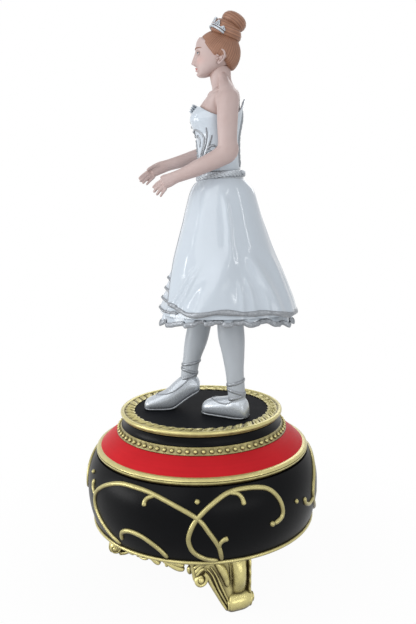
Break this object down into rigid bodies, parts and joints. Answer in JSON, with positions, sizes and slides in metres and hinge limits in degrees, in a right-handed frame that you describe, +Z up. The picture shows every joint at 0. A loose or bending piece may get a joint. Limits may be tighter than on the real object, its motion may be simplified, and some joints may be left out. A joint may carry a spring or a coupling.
{
  "type": "ballerina jewellery box",
  "caption": "Footed round jewellery box with a lift-off lid, a dancer on a turning platform and a wind-up musical movement under the tray.",
  "frame": {"origin": "on the box's vertical axis, in the plane of the table", "axes": "+Z up; the dancer faces -Y and the dancer's left is +X"},
  "size_m": [0.1374, 0.1367, 0.3248],
  "materials": {
    "black_lacquer": "satin black lacquer on cast resin",
    "red_lacquer": "gloss crimson lacquer on cast resin",
    "gold_paint": "antique gold, half gloss",
    "flock": "short red flock",
    "white_enamel": "gloss white enamel on cast resin",
    "silver_paint": "silver paint with fine flakes",
    "stocking_white": "white paint, satin",
    "skin": "skin-coloured paint, satin",
    "hair": "light auburn paint with combed strands",
    "steel": "turned steel",
    "brass": "turned brass"
  },
  "bodies": {
    "bowl_body": {"bowl": "black_lacquer", "bowl_moulding": "gold_paint", "bowl_scrollwork": "gold_paint", "base_ring": "gold_paint", "foot_front": "gold_paint", "foot_left": "gold_paint", "foot_right": "gold_paint", "apron_bands": "gold_paint", "foot_screws": "steel", "jewel_tray": "flock", "movement_bedplate": "brass", "bedplate_screws": "steel", "spring_barrel": "brass", "barrel_cap": "brass", "mainspring": "steel", "cylinder_brackets": "brass", "comb_base": "brass", "music_comb": "steel", "comb_screws": "steel", "governor_cage": "brass"},
    "lid": {"lid_shell": "red_lacquer", "lid_moulding": "gold_paint", "bead_ring": "gold_paint", "lid_neck": "black_lacquer", "lid_liner": "flock", "turntable_bush": "brass"},
    "turntable": {"turntable_disc": "black_lacquer", "turntable_rim": "gold_paint", "turntable_shaft": "steel", "retaining_clip": "steel", "dog_socket": "brass", "figure_pins": "steel", "left_shoe": "silver_paint", "right_shoe": "silver_paint", "left_leg": "stocking_white", "right_leg": "stocking_white", "petticoat": "white_enamel", "skirt": "white_enamel", "sash": "silver_paint", "bodice": "white_enamel", "head_and_shoulders": "skin", "left_arm": "skin", "right_arm": "skin", "hair": "hair", "tiara": "silver_paint"},
    "drive": {"winding_key": "brass", "winding_arbor": "steel", "crown_wheel": "brass", "drive_spindle": "steel"},
    "cylinder": {"music_cylinder": "brass", "cylinder_shaft": "steel", "cylinder_pinion": "brass", "cylinder_wheel": "brass"},
    "governor_wheel": {"governor_shaft": "steel", "governor_pinion": "brass", "worm_wheel": "brass"},
    "governor_worm": {"worm": "steel", "fly": "brass"}
  },
  "joints": [
    {"name": "lid_lift", "type": "slide", "parent": "bowl_body", "child": "lid", "axis": [0, 0, 1], "range_m": [0, 0.06]},
    {"name": "turntable_spin", "type": "hinge", "parent": "lid", "child": "turntable", "pos_m": [0, 0, 0.0875], "axis": [0, 0, 1], "continuous": true},
    {"name": "drive_spin", "type": "hinge", "parent": "bowl_body", "child": "drive", "pos_m": [0, 0, 0.045], "axis": [0, 0, 1], "continuous": true},
    {"name": "cylinder_spin", "type": "hinge", "parent": "bowl_body", "child": "cylinder", "pos_m": [0, 0.0335, 0.04618], "axis": [0, 1, 0], "continuous": true},
    {"name": "governor_wheel_spin", "type": "hinge", "parent": "bowl_body", "child": "governor_wheel", "pos_m": [0.009, 0.05, 0.04618], "axis": [0, 1, 0], "continuous": true},
    {"name": "governor_worm_spin", "type": "hinge", "parent": "bowl_body", "child": "governor_worm", "pos_m": [0.0156, 0.0532, 0.04618], "axis": [0, 0, 1], "continuous": true}
  ],
  "couplings": [
    {"joint": "drive_spin", "follows": "turntable_spin", "ratio": 1},
    {"joint": "cylinder_spin", "follows": "turntable_spin", "ratio": -4},
    {"joint": "governor_wheel_spin", "follows": "turntable_spin", "ratio": 8},
    {"joint": "governor_worm_spin", "follows": "turntable_spin", "ratio": 128}
  ]
}
